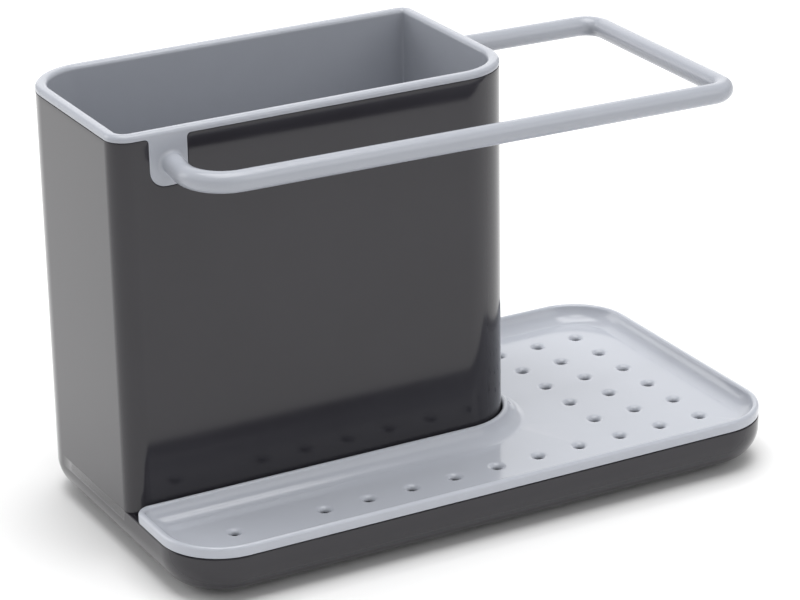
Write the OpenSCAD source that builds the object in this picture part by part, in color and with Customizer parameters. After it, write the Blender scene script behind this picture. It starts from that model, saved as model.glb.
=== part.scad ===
// Kitchen sink caddy: a tall bin with a lift-out liner and a hanging rail,
// standing at the back left of a low base that carries a lift-out drain tray.
// Origin: centre of the footprint on the table. +X is the length, to the right,
// +Y is the back and +Z is up. Sizes are in millimetres.

/* [Base] */
// Length of the base, left to right
caddy_length = 205; // [170:1:260]
// Depth of the base, front to back
caddy_depth = 112; // [100:1:150]
// Radius of the base's upright corners, and of the bin's front right corner
corner_r = 19.5; // [16:0.5:24]
// Radius of the base's bottom edge
base_edge_r = 10; // [6:0.5:12]
// Height of the base from its underside to the top edge of its pan
base_h = 13.6; // [13:0.2:18]
// Wall of the dark moulding, and the thickness of its floor
body_wall = 2; // [1.6:0.1:2.6]
// Width of each drain opening between the bin and the pan
weep_w = 16; // [8:1:24]
// Height of each drain opening
weep_h = 5; // [3:0.5:7]

/* [Bin] */
// Length of the bin, left to right
bin_length = 134.2; // [110:0.5:150]
// Depth of the bin, front to back
bin_depth = 72.3; // [60:0.5:80]
// Radius of the bin's front left corner
bin_left_r = 6.5; // [5.4:0.1:9]
// Radius of the bin's back right corner
bin_back_r = 4.5; // [4.4:0.1:9]
// Height of the whole caddy, from the table to the top of the liner's rim
caddy_h = 133; // [110:0.5:160]

/* [Liner] */
// Wall of the liner
liner_wall = 1.4; // [1.1:0.1:1.8]
// Thickness of the liner's floor
liner_floor = 1.6; // [1.2:0.1:2.4]
// Space between the pan's floor and the liner's floor
liner_drop = 13; // [11:0.5:20]
// Height of the rim bead that covers the top of the bin's wall
rim_h = 2; // [1.6:0.1:3]
// Clearance between the liner and the bin
liner_gap = 0.3; // [0.2:0.05:0.5]
// Diameter of each drain hole in the liner's floor
liner_hole_d = 4.5; // [3:0.5:7]
// Distance between those holes
liner_hole_pitch = 22; // [16:1:26]
// Columns of those holes
liner_hole_columns = 5; // [1:1:5]
// Rows of those holes
liner_hole_rows = 2; // [1:1:2]

/* [Liner tabs] */
// Width of a tab
tab_w = 12; // [11:0.5:16]
// Distance from the top of the rim down to the lower end of a tab
tab_reach = 16.8; // [16.8:0.2:24]
// Radius of a tab's lower corners
tab_corner_r = 5; // [3:0.5:5.5]
// Radius where a tab runs into the bead
tab_root_r = 1.3; // [1:0.1:3]
// Distance from the bin's left side to the middle of the front tab
front_tab_inset = 17; // [16:0.2:30]
// Distance from the bin's back to the middle of the side tab
side_tab_inset = 14.1; // [12:0.1:30]

/* [Hanging rail] */
// Diameter of the rail
rail_d = 6.4; // [5:0.1:8]
// Distance from the top of the rim down to the middle of the rail
rail_drop = 11; // [10:0.1:12]
// Distance from the bin's front to the middle of the front bar
rail_front_reach = 20.7; // [16:0.1:26]
// Distance from the bin's right side to the middle of the end bar
rail_side_reach = 61.2; // [50:0.1:66]
// Radius of the first bend, at the front tab
rail_first_bend_r = 12; // [9:0.5:14]
// Radius of the two bends at the far end
rail_end_bend_r = 6.6; // [6:0.1:12]
// Radius of the fillet where the rail leaves a tab
rail_root_r = 1.2; // [0.8:0.1:1.4]
// Distance from the front tab's middle to the rail's root, towards the right
rail_root_shift = 0.8; // [0:0.1:1.2]
// Angle by which the loop hangs down towards its front right corner
rail_droop = 0.86; // [0:0.02:1.4]
// Direction in plan of the line that the loop hangs down about
rail_droop_way = 51.5; // [30:0.5:60]

/* [Drain tray] */
// Height of the tray's rim above the top edge of the base
tray_rim_h = 3.2; // [2:0.2:5]
// Width of the tray's rim
tray_rim_w = 2.6; // [2:0.1:4]
// Depth of the tray, from the rim's top to the floor
tray_deep = 5; // [4:0.2:6]
// Thickness of the tray's floor
tray_floor = 1.8; // [1.2:0.1:2.4]
// Radius of the hollow between the rim and the floor
tray_fillet_r = 5; // [3:0.2:5]
// Radius of the tray's two end corners beside the bin
tray_end_r = 5; // [3:0.5:8]
// Gap between the tray and the bin
tray_gap = 0.4; // [0.3:0.05:0.8]
// Gap between the tray's rim and the base's top edge
tray_seat_gap = 0.4; // [0.3:0.05:0.8]
// Clearance between the tray's body and the pan's inner wall
tray_fit = 0.4; // [0.3:0.05:0.8]

/* [Drain holes] */
// Diameter of a drain hole
hole_d = 3; // [2:0.1:4]
// Diameter of the dished edge of a hole
hole_dish_d = 6; // [4.2:0.1:6]
// Depth of the dished edge
hole_dish_h = 1.2; // [0.4:0.1:1.2]
// Distance between holes
hole_pitch = 14.8; // [13:0.1:15.5]
// Distance from the base's right side to the first column of holes
hole_side_inset = 18.9; // [17:0.1:22]
// Distance from the base's front to the front row of holes
hole_front_inset = 19; // [17:0.1:22]
// Holes in the front row
front_row_count = 12; // [6:1:12]
// Columns of holes at the right of the bin
column_count = 3; // [2:1:3]
// Rows of holes at the right of the bin
row_count = 6; // [3:1:6]
// Place in the front row, counted from the right, that is left without a hole
blank_place = 10; // [6:1:12]

/* [Feet] */
// Diameter of a foot
foot_d = 11; // [8:0.5:14]
// Height of the gap under the base, which the feet make
foot_h = 1.5; // [1:0.1:3]
// Depth of the recess that holds a foot
foot_recess = 0.8; // [0.5:0.1:1]
// Distance from the base's sides to the middle of a foot
foot_inset = 22; // [20:0.5:30]
// Clearance round a foot in its recess
foot_gap = 0.2; // [0.1:0.05:0.4]

/* [Hidden] */
$fn = 72;

// How far a cut runs past the face that it opens
over = 1;

// Sides of the base
x_left = -caddy_length / 2;
x_right = caddy_length / 2;
y_front = -caddy_depth / 2;
y_back = caddy_depth / 2;

// The bin stands flush with the base's left side and back
bin_right = x_left + bin_length;
bin_front = y_back - bin_depth;

// Levels, from the table up
pan_floor = foot_h + body_wall;
pan_top = foot_h + base_h;
tray_seat = pan_top + tray_seat_gap;
tray_top = tray_seat + tray_rim_h;
tray_level = tray_top - tray_deep;
tray_under = tray_level - tray_floor;
liner_under = pan_floor + liner_drop;
bead_under = caddy_h - rim_h;
bin_top = bead_under - liner_gap;
rail_level = caddy_h - rail_drop;
tab_under = caddy_h - tab_reach;

// Middle of each tab, and the lines that the rail follows
front_tab_x = x_left + front_tab_inset;
side_tab_y = y_back - side_tab_inset;
rail_root_x = front_tab_x + rail_root_shift;
rail_front_y = bin_front - rail_front_reach;
rail_side_x = bin_right + rail_side_reach;

// Thickness from the bin's outer face to the liner's inner face
double_wall = body_wall + liner_gap + liner_wall;

// Centre of the bin's front right corner, and the edge of the tray's rim round it
wrap_x = bin_right - corner_r;
wrap_y = bin_front + corner_r;
wrap_edge = tray_gap + tray_rim_w;

// Places of the drain openings along the bin's front wall
weep_shares = [0.25, 0.62];

dark = [0.27, 0.26, 0.28];
pale = [0.72, 0.73, 0.77];
soft_black = [0.1, 0.1, 0.1];

// Outline of a box whose corners have the radius r, drawn in by inset.
module rounded_plan(x0, x1, y0, y1, r, inset = 0) {
  translate([x0 + r, y0 + inset])
    square([x1 - x0 - 2 * r, y1 - y0 - 2 * inset]);
  translate([x0 + inset, y0 + r])
    square([x1 - x0 - 2 * inset, y1 - y0 - 2 * r]);
  for (x = [x0 + r, x1 - r], y = [y0 + r, y1 - r])
    translate([x, y]) circle(r - inset);
}

module base_plan(inset = 0) {
  rounded_plan(x_left, x_right, y_front, y_back, corner_r, inset);
}

// What the bin's three free corners leave out of a square outline. Beside the
// front left and the back right corner the cut runs out by extra.
module bin_corners(inset, extra) {
  translate([x_left + inset, bin_front + inset])
    corner_web(bin_left_r - inset, extra);
  translate([bin_right - inset, bin_front + inset])
    mirror([1, 0]) corner_web(corner_r - inset, over);
  translate([bin_right - inset, y_back - inset])
    rotate([0, 0, 180]) corner_web(bin_back_r - inset, extra);
}

// The bin's outline, drawn in by inset.
module bin_plan(inset = 0) {
  difference() {
    translate([x_left + inset, bin_front + inset])
      square([bin_length - 2 * inset, bin_depth - 2 * inset]);
    bin_corners(inset, over);
    translate([x_left + inset, y_back - inset])
      mirror([0, 1]) corner_web(corner_r - inset, over);
  }
}

// The bin's outline drawn in by inset, and run on past the base's left and
// back, where a solid of the base's own outline ends it.
module bin_reach(inset = 0) {
  past = 2 * corner_r;
  difference() {
    translate([x_left - past, bin_front + inset])
      square([past + bin_length - inset, past + bin_depth - inset]);
    bin_corners(inset, past + over);
  }
}

module layer(z0, z1) {
  translate([0, 0, z0]) linear_extrude(z1 - z0) children();
}

// What is left of a square's corner outside a circle of the radius r. The
// corner is at the origin, and the piece runs past it by extra.
module corner_web(r, extra = 0) {
  difference() {
    translate([-extra, -extra]) square(r + extra);
    translate([r, r]) circle(r);
  }
}

// Half of an upright section whose lower outer corner has the radius edge.
module half_section(half_w, h, edge) {
  intersection() {
    square([half_w, h]);
    union() {
      square([half_w - edge, h]);
      translate([0, edge]) square([half_w, h - edge]);
      translate([half_w - edge, edge]) circle(edge);
    }
  }
}

// Solid on the base's plan, drawn in by inset, whose bottom edge has the radius edge.
module dished_block(inset, edge, z0, z1) {
  r = corner_r - inset;
  half_w = caddy_length / 2 - corner_r;
  half_d = caddy_depth / 2 - corner_r;
  h = z1 - z0;
  translate([-half_w, 0, z0])
    rotate([90, 0, 90]) linear_extrude(2 * half_w) {
      half_section(half_d + r, h, edge);
      mirror([1, 0]) half_section(half_d + r, h, edge);
    }
  for (turn = [0, 180])
    rotate([0, 0, turn]) {
      translate([half_w, half_d, z0]) {
        rotate([90, 0, 0]) linear_extrude(2 * half_d) half_section(r, h, edge);
        rotate_extrude(angle = 90) half_section(r, h, edge);
      }
      translate([half_w, -half_d, z0])
        rotate([0, 0, -90]) rotate_extrude(angle = 90) half_section(r, h, edge);
    }
}

// Outline of a tab seen square on, hanging from the bead's underside at
// height 0, with rounded lower corners and a small radius under the bead.
module half_tab(grow) {
  half_w = tab_w / 2 + grow;
  lower = tab_corner_r + grow;
  depth = bead_under - tab_under + grow;
  root = tab_root_r - grow;
  translate([0, lower - depth]) square([half_w, depth - lower]);
  translate([0, -depth]) square([half_w - lower, depth]);
  translate([half_w - lower, lower - depth]) circle(lower);
  difference() {
    translate([half_w, -tab_root_r]) square([root, tab_root_r]);
    translate([half_w + root, -tab_root_r]) circle(root);
  }
}

module tab_outline(grow) {
  half_tab(grow);
  mirror([1, 0]) half_tab(grow);
}

// The tabs' outlines carried through the bin's wall, along Y at the front
// and along X at the right.
module tab_bars(grow = 0) {
  inner = 2 * double_wall;
  translate([front_tab_x, bin_front + inner, bead_under])
    rotate([90, 0, 0]) linear_extrude(inner + over) tab_outline(grow);
  translate([bin_right - inner, side_tab_y, bead_under])
    rotate([90, 0, 90]) linear_extrude(inner + over) tab_outline(grow);
}

module foot_places() {
  for (x = [x_left + foot_inset, x_right - foot_inset])
    for (y = [y_front + foot_inset, y_back - foot_inset])
      translate([x, y, 0]) children();
}

// Openings at floor level that let water run from the bin into the pan.
module drain_openings() {
  reach = body_wall + 2 * over;
  for (share = weep_shares)
    translate([x_left + share * bin_length - weep_w / 2, bin_front - over, pan_floor])
      cube([weep_w, reach, weep_h]);
  translate([bin_right - body_wall - over, bin_front + (bin_depth - weep_w) / 2, pan_floor])
    cube([reach, weep_w, weep_h]);
}

// All that lies above the pan beside the bin, as a cut.
module space_beside_bin() {
  layer(pan_top, bin_top + over)
    difference() {
      translate([x_left - over, y_front - over])
        square([caddy_length + 2 * over, caddy_depth + 2 * over]);
      bin_reach();
    }
}

// The dark moulding: bin and pan in one piece.
module outer_body() {
  pan_edge = base_edge_r - body_wall;
  color(dark)
    difference() {
      dished_block(0, base_edge_r, foot_h, bin_top);
      space_beside_bin();
      // the pan in front of the bin and at its right
      difference() {
        dished_block(body_wall, pan_edge, pan_floor, pan_top + over);
        layer(foot_h, pan_top + 2 * over) bin_reach();
      }
      // the inside of the bin, two walls of which follow the rounded edge
      intersection() {
        dished_block(body_wall, pan_edge, pan_floor, bin_top + over);
        layer(foot_h, bin_top + 2 * over) bin_reach(body_wall);
      }
      tab_bars(liner_gap);
      drain_openings();
      foot_places()
        translate([0, 0, foot_h - over])
          cylinder(d = foot_d + 2 * foot_gap, h = foot_recess + over);
    }
}

// The lift-out cup, with its bead and its two tabs.
module inner_liner() {
  mid_x = x_left + bin_length / 2;
  mid_y = bin_front + bin_depth / 2;
  color(pale) {
    difference() {
      union() {
        layer(liner_under, bead_under) bin_plan(body_wall + liner_gap);
        layer(bead_under, caddy_h) bin_plan();
      }
      layer(liner_under + liner_floor, caddy_h + over) bin_plan(double_wall);
      for (i = [0 : liner_hole_columns - 1], j = [0 : liner_hole_rows - 1])
        translate([
          mid_x + (i - (liner_hole_columns - 1) / 2) * liner_hole_pitch,
          mid_y + (j - (liner_hole_rows - 1) / 2) * liner_hole_pitch,
          liner_under - over
        ])
          cylinder(d = liner_hole_d, h = liner_floor + 2 * over);
    }
    intersection() {
      tab_bars();
      layer(tab_under - over, bead_under)
        difference() {
          bin_plan();
          bin_plan(double_wall);
        }
    }
  }
}

// The rail's end at a tab: it leaves the face at the origin along +Z, and runs
// on into the tab, where the bin's outline ends it.
module rail_root() {
  translate([0, 0, -over]) cylinder(r = rail_d / 2 + rail_root_r, h = over);
  rotate_extrude() {
    square([rail_d / 2, rail_root_r]);
    translate([rail_d / 2, 0]) corner_web(rail_root_r);
  }
}

module rail_bar(length) {
  cylinder(d = rail_d, h = length);
}

module rail_bend(r) {
  rotate_extrude(angle = 90) translate([r, 0]) circle(d = rail_d);
}

// The loop before it hangs, followed from the front tab to the side tab.
module level_rail() {
  first = rail_first_bend_r;
  end = rail_end_bend_r;
  translate([0, 0, rail_level]) {
    translate([rail_root_x, bin_front, 0]) rotate([90, 0, 0]) {
      rail_root();
      rail_bar(rail_front_reach - first);
    }
    translate([rail_root_x + first, rail_front_y + first, 0])
      rotate([0, 0, 180]) rail_bend(first);
    translate([rail_root_x + first, rail_front_y, 0])
      rotate([0, 90, 0]) rail_bar(rail_side_x - rail_root_x - first - end);
    translate([rail_side_x - end, rail_front_y + end, 0])
      rotate([0, 0, -90]) rail_bend(end);
    translate([rail_side_x, rail_front_y + end, 0])
      rotate([-90, 0, 0]) rail_bar(side_tab_y - rail_front_y - 2 * end);
    translate([rail_side_x - end, side_tab_y - end, 0]) rail_bend(end);
    translate([bin_right, side_tab_y, 0]) rotate([0, 90, 0]) {
      rail_root();
      rail_bar(rail_side_reach - end);
    }
  }
}

// The round rail, hung down about a line through its front root.
module hanging_rail() {
  way = rail_droop_way;
  color(pale)
    difference() {
      translate([rail_root_x, bin_front, rail_level])
        rotate([0, 0, way]) rotate([rail_droop, 0, 0]) rotate([0, 0, -way])
          translate([-rail_root_x, -bin_front, -rail_level]) level_rail();
      layer(rail_level - rail_d, rail_level + rail_d) bin_plan();
    }
}

// The bin's plan, drawn out by clear and run on past the base's left and back.
module beside_bin(clear) {
  past = 2 * corner_r;
  rounded_plan(x_left - past, bin_right + clear, bin_front - clear, y_back + past,
    corner_r + clear);
}

// The tray's L-shaped outline: drawn in by inset from the base's sides, clear
// of the bin, and with its two end corners rounded.
module tray_plan(inset, clear) {
  difference() {
    base_plan(inset);
    beside_bin(clear);
    tray_end_corners(inset, clear);
  }
}

module tray_end_corners(inset, clear) {
  r = tray_end_r - inset;
  translate([x_left + inset, bin_front - clear]) mirror([0, 1]) corner_web(r, over);
  translate([bin_right + clear, y_back - inset]) mirror([0, 1]) corner_web(r, over);
}

module wrap_web() {
  translate([corner_r + wrap_edge, 0]) corner_web(tray_fillet_r);
}

// What stays solid in the tray beside the bin: the rim, and the hollow that
// runs from the rim down to the floor.
module rim_beside_bin() {
  layer(tray_level - over, tray_top + 2 * over) {
    beside_bin(wrap_edge);
    tray_end_corners(tray_rim_w, wrap_edge);
  }
  translate([wrap_x, wrap_y, tray_level]) {
    rotate([90, 0, -90]) linear_extrude(wrap_x - x_left) wrap_web();
    rotate([90, 0, 180]) linear_extrude(y_back - wrap_y) mirror([1, 0]) wrap_web();
    rotate([0, 0, -90]) rotate_extrude(angle = 90) wrap_web();
  }
}

module drain_hole() {
  dish = tray_level - hole_dish_h;
  translate([0, 0, tray_under - over])
    cylinder(d = hole_d, h = tray_floor + 2 * over);
  translate([0, 0, dish])
    cylinder(d1 = hole_d, d2 = hole_dish_d, h = hole_dish_h);
}

// Columns count from the right and rows count from the front.
module drain_holes() {
  for (column = [0 : front_row_count - 1], row = [0 : row_count - 1])
    if (row == 0 ? column != blank_place : column < column_count)
      translate([
        x_right - hole_side_inset - column * hole_pitch,
        y_front + hole_front_inset + row * hole_pitch,
        0
      ])
        drain_hole();
}

// The lift-out tray over the pan.
module drain_tray() {
  color(pale)
    difference() {
      union() {
        layer(tray_seat, tray_top) tray_plan(0, tray_gap);
        layer(tray_under, tray_seat) tray_plan(body_wall + tray_fit, tray_gap);
      }
      difference() {
        dished_block(tray_rim_w, tray_fillet_r, tray_level, tray_top + over);
        rim_beside_bin();
      }
      drain_holes();
    }
}

module foot(x, y) {
  color(soft_black)
    translate([x, y, 0]) cylinder(d = foot_d, h = foot_h + foot_recess);
}

module front_left_foot() {
  foot(x_left + foot_inset, y_front + foot_inset);
}

module front_right_foot() {
  foot(x_right - foot_inset, y_front + foot_inset);
}

module back_left_foot() {
  foot(x_left + foot_inset, y_back - foot_inset);
}

module back_right_foot() {
  foot(x_right - foot_inset, y_back - foot_inset);
}

outer_body();
inner_liner();
hanging_rail();
drain_tray();
front_left_foot();
front_right_foot();
back_left_foot();
back_right_foot();
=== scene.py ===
"""The looks of a kitchen sink caddy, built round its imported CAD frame.

Every moulded piece is a surface worked out with numpy: a profile of insets and
heights carried along a rounded outline. Sizes are in millimetres until a mesh
is made, and they repeat the named values of the part's source.
"""

import logging
import math
from dataclasses import dataclass
from enum import Enum
from typing import Sequence

import bmesh
import bpy
import numpy as np
from mathutils import Matrix
from mathutils.geometry import delaunay_2d_cdt

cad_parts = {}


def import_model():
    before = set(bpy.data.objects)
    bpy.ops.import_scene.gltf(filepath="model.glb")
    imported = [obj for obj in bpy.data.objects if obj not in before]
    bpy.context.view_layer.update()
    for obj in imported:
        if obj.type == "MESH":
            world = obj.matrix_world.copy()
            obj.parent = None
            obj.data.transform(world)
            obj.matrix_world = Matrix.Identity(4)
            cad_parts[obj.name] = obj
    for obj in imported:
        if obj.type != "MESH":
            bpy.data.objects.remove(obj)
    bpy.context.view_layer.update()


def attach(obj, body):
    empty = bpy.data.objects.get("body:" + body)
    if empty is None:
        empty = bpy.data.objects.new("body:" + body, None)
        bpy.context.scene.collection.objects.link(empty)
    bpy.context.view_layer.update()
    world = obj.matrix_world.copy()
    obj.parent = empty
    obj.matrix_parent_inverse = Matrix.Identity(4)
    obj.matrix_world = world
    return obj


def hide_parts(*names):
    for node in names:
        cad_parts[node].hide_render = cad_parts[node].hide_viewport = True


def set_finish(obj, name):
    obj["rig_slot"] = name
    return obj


MM = 0.001
QUARTER = math.pi / 2
# Least radius of a rectangle's corner when its outline is drawn in
LEAST_R = 0.8
# Width of the strip beside a rounded edge that keeps the flat next to it flat in shading
STRIP = 0.3
# Height from which a notched wall's columns fan out, and the rows' shares of the way up
NECK = 99.0
RISE = np.array([0.0, 0.3, 0.55, 0.75, 0.88, 0.95, 1.0])[:, None]
HOLE_SIDES = 32
FOOT_SIDES = 48
SHARP_DEGREES = 42
# Distances at which points count as one: in a mesh, in a flat fill and on a line
WELD_M = 1e-7
FILL_MM = 1e-5
LINE_MM = 1e-9
# A distance beyond any notch, and the height of a direction that counts as upright
FAR = 1e6
UPRIGHT = 0.9
Array = np.ndarray
Object = bpy.types.Object
Socket = bpy.types.NodeSocket
Triple = tuple[float, float, float]
log = logging.getLogger("caddy")


class Body(Enum):
    """The bodies that move on their own."""

    BASE = "base"
    LINER = "liner"
    TRAY = "tray"


class Slot(Enum):
    """The record's material slots."""

    DARK = "dark_body"
    INSERT = "pale_insert"
    TRAY = "pale_tray"
    RUBBER = "foot_rubber"


@dataclass(frozen=True)
class Corner:
    """One rounded corner of an outline that runs anticlockwise.

    x and y are the sharp corner, aim its outward diagonal as signs, start the
    outward direction in degrees where the corner begins. hollow marks a corner
    that goes round something outside the outline.
    """

    x: float
    y: float
    aim: tuple[float, float]
    start: float
    radius: float
    least: float = 0.0
    hollow: bool = False


class Outline:
    """A closed line of rounded corners and straight sides, measured by length."""

    def __init__(self, corners: Sequence[Corner]) -> None:
        """Lays the corners and the sides between them out along one length.

        Args:
            corners: the corners in anticlockwise order.
        """
        self.sharp = np.array([(c.x, c.y) for c in corners], float)
        parts = [(c.aim, c.radius, c.least, c.hollow, math.radians(c.start)) for c in corners]
        self.aim, self.radius, self.least, self.hollow, self.turn = map(np.array, zip(*parts))
        self.sweep = np.where(self.hollow, -QUARTER, QUARTER)
        self.count = len(corners)
        k = np.arange(self.count)
        zero = np.zeros(self.count)
        end = self.corner_point(k, self.turn + self.sweep, zero)
        nxt = (k + 1) % self.count
        begin = self.corner_point(nxt, self.turn[nxt], zero)
        sides = np.linalg.norm(begin - end, axis=-1)
        self.lengths = np.stack([self.radius * QUARTER, sides], 1).ravel()
        self.starts = join([0.0], np.cumsum(self.lengths)[:-1])
        self.length = float(self.lengths.sum())

    def corner_point(self, k: Array, turn: Array, inset: Array) -> Array:
        """Points on the corners' arcs.

        A corner drawn in by inset keeps its centre and loses that much radius,
        until the radius is the least one, when the centre moves in instead. A
        hollow corner gains radius.

        Args:
            k: number of the corner, for each point.
            turn: outward direction in radians.
            inset: how far the outline is drawn in.
        Returns:
            The points, with X and Y on the last axis.
        """
        r0, hollow = self.radius[k], self.hollow[k]
        r = np.where(hollow, r0 + inset, np.maximum(r0 - inset, self.least[k]))
        shift = np.where(hollow, -r0, inset + r)
        centre = self.sharp[k] - shift[..., None] * self.aim[k]
        out = np.stack([np.cos(turn), np.sin(turn)], -1)
        return centre + (np.where(hollow, -1.0, 1.0) * r)[..., None] * out

    def place(self, s: Array, inset: Array | float) -> Array:
        """Points at the lengths s, drawn in by inset.

        On a corner the point turns with its share of the arc. On a side it
        moves in a straight line from one corner's end to the next one's start.

        Args:
            s: length along the outline.
            inset: how far the outline is drawn in there.
        Returns:
            The points, with X and Y on the last axis.
        """
        s, inset = np.broadcast_arrays(np.mod(s, self.length), np.asarray(inset, float))
        i = np.clip(np.searchsorted(self.starts, s, side="right") - 1, 0, None)
        share = (s - self.starts[i]) / self.lengths[i]
        k, arc = i // 2, i % 2 == 0
        after = (k + 1) % self.count
        turned = self.turn[k] + np.where(arc, share, 1.0) * self.sweep[k]
        a = self.corner_point(k, turned, inset)
        b = self.corner_point(after, self.turn[after], inset)
        return a + (b - a) * np.where(arc, 0.0, share)[..., None]

    def samples(self, steps: int = 30) -> Array:
        """Lengths at even turns of each corner, and just inside each side's ends."""
        arcs = self.starts[0::2, None] + self.lengths[0::2, None] * np.linspace(0, 1, steps + 1)
        near = self.starts[1::2] + STRIP
        far = self.starts[1::2] + self.lengths[1::2] - STRIP
        return tidy_lengths(join(arcs.ravel(), near, far), self.length)

    def table(self, axis: int, low: float, high: float, rows: int = 4001) -> tuple:
        """A table from one coordinate to the length, where both rise together.

        Args:
            axis: 0 for X, 1 for Y.
            low, high: lengths at which the table begins and ends.
            rows: number of its rows.
        Returns:
            The coordinates and their lengths.
        """
        s = np.linspace(low, high, rows)
        return self.place(s, 0.0)[..., axis], s


def join(*parts: object) -> Array:
    """The parts one after the other, as one array."""
    return np.concatenate(parts)


def tidy_lengths(s: Array, length: float, least: float = 0.03) -> Array:
    """Sorted lengths round a loop, without any that lie closer than least."""
    s = np.sort(np.mod(s, length))
    keep = join([True], np.diff(s) > least)
    s = s[keep]
    return s[s < length - least] if s[0] < least else s


def box_outline(x0: float, x1: float, y0: float, y1: float, radii: Sequence[float]) -> Outline:
    """A rectangle with rounded corners, which starts at its front right corner.

    Args:
        x0, x1: left and right side.
        y0, y1: front and back.
        radii: radius of the front right, back right, back left and front left corner.
    Returns:
        The outline, whose corners stay rounded when it is drawn in.
    """
    places = ((x1, y0, 1, -1), (x1, y1, 1, 1), (x0, y1, -1, 1), (x0, y0, -1, -1))
    return Outline(
        [
            Corner(x, y, (a, b), start, r, LEAST_R)
            for (x, y, a, b), start, r in zip(places, (-90, 0, 90, 180), radii)
        ]
    )


def arc(cx: float, cz: float, r: float, start: float, end: float, steps: int) -> Array:
    """Points of a circular arc in a profile, from one angle to another in degrees."""
    t = np.radians(np.linspace(start, end, steps + 1))
    return np.stack([cx + r * np.cos(t), cz + r * np.sin(t)], 1)


def quarter(r: float, steps: int) -> tuple[Array, ...]:
    """How a quarter of a circle comes away from one side and up to the other.

    At the turn t, the first is r times one less the cosine of t, and the second
    r times one less the sine of t.
    """
    t = np.linspace(0, QUARTER, steps + 1)
    return r * (1 - np.cos(t)), r * (1 - np.sin(t))


def link(name: str, data: bpy.types.ID) -> Object:
    """Makes an object of the data and puts it into the scene."""
    thing = bpy.data.objects.new(name, data)
    bpy.context.scene.collection.objects.link(thing)
    return thing


def stand(right: Array, up: Array, back: Array, at: Array) -> Matrix:
    """The matrix of an object from its three directions and its place, in metres."""
    frame = np.eye(4)
    frame[:3] = np.stack([right, up, back, at], 1)
    return Matrix(frame.tolist())


class Moulding:
    """Collects grids, fills and poles of one piece, and makes its mesh."""

    def __init__(self) -> None:
        """Starts with no points."""
        self.points: list[Array] = []
        self.faces: list[list[int]] = []
        self.total = 0

    def add(self, points: Array) -> Array:
        """Takes points in, with X, Y and Z on the last axis, and returns their numbers."""
        flat = points.reshape(-1, 3)
        self.points.append(flat)
        self.total += len(flat)
        return np.arange(self.total - len(flat), self.total).reshape(points.shape[:-1])

    def grid(self, points: Array, loop: bool = False) -> Array:
        """Adds rows of ring points with quads between them.

        Args:
            points: the points as rows and columns, each row a ring.
            loop: whether the last row joins the first.
        Returns:
            The points' numbers as rows and columns.
        """
        index = self.add(points)
        a = index if loop else index[:-1]
        b = np.roll(index, -1, 0) if loop else index[1:]
        quads = np.stack([a, np.roll(a, -1, 1), np.roll(b, -1, 1), b], -1)
        self.faces += quads.reshape(-1, 4).tolist()
        return index

    def pole(self, ring: Array, centre: Sequence[float]) -> None:
        """Closes a ring with a fan of triangles to one centre point."""
        tip = self.add(np.array([centre], float))
        fan = np.stack([ring, np.roll(ring, -1), np.broadcast_to(tip, ring.shape)], -1)
        self.faces += fan.tolist()

    def bores(self, profile: Array, places: Sequence[Sequence[float]], sides: int) -> list[Array]:
        """Adds a profile of radii and heights, turned round an upright axis at each place."""
        t = np.linspace(0, 2 * math.pi, sides, endpoint=False)
        r, z = profile[:, :1], profile[:, 1:]
        return [
            self.grid(np.stack([x + r * np.cos(t), y + r * np.sin(t), z + 0 * t], -1))
            for x, y in places
        ]

    def fill(self, rings: Sequence[Array]) -> None:
        """Flat triangles inside the first ring and outside the others, all at one height.

        The triangulation covers the other rings too, so a triangle whose three
        corners lie on one of them is left out.

        Args:
            rings: the outer ring, then the rings of the holes.
        """
        index = np.concatenate(rings)
        flat = np.concatenate(self.points)[index][:, :2]
        ends = np.cumsum([len(r) for r in rings])
        spans = [np.arange(e - len(r), e) for r, e in zip(rings, ends)]
        edges = join(*(np.stack([i, np.roll(i, -1)], 1) for i in spans)).tolist()
        result = delaunay_2d_cdt(flat.tolist(), edges, [], 2, FILL_MM)
        origin = np.array([o[0] for o in result[3]])
        corners = origin[np.array(result[2])]
        tags = np.searchsorted(ends, corners, side="right")
        hole = (tags[:, 0] > 0) & (tags == tags[:, :1]).all(1)
        self.faces += index[corners[~hole]].tolist()

    def build(self, name: str, body: Body, slot: Slot, nodes: Sequence[str]) -> Object:
        """Makes the object, turns its faces outwards and ties it to the frame.

        Args:
            name: the piece's name.
            body: the body that it rides on.
            slot: the record's material slot.
            nodes: the CAD nodes that it stands for.
        Returns:
            The new object, at the origin.
        """
        mesh = bpy.data.meshes.new(name)
        mesh.from_pydata((np.concatenate(self.points) * MM).tolist(), [], self.faces)
        shape = bmesh.new()
        shape.from_mesh(mesh)
        bmesh.ops.remove_doubles(shape, verts=shape.verts, dist=WELD_M)
        bmesh.ops.dissolve_degenerate(shape, edges=shape.edges, dist=WELD_M)
        bmesh.ops.recalc_face_normals(shape, faces=shape.faces)
        loose = sum(e.is_boundary for e in shape.edges)
        shape.to_mesh(mesh)
        shape.free()
        mesh.shade_smooth()
        mesh.set_sharp_from_angle(angle=math.radians(SHARP_DEGREES))
        piece = link(name, mesh)
        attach(piece, body.value)
        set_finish(piece, slot.value)
        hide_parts(*nodes)
        log.info("%s: %d faces, %d open edges", name, len(mesh.polygons), loose)
        return piece


def sweep(outline: Outline, s: Array, inset: Array, z: Array) -> Array:
    """Carries a profile round an outline.

    The point of row i and column j lies at the length s[j], drawn in by the
    profile's inset and lifted to its height.

    Args:
        outline: the plan.
        s: lengths, one a column, or one for each row and column.
        inset: insets, one a row, or one for each row and column.
        z: heights, as the insets.
    Returns:
        Points as rows and columns, with X, Y and Z on the last axis.
    """
    inset = inset[:, None] if inset.ndim == 1 else inset
    z = z[:, None] if z.ndim == 1 else z
    s, inset, z = np.broadcast_arrays(s, inset, z)
    return np.dstack([outline.place(s, inset), z])


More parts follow.
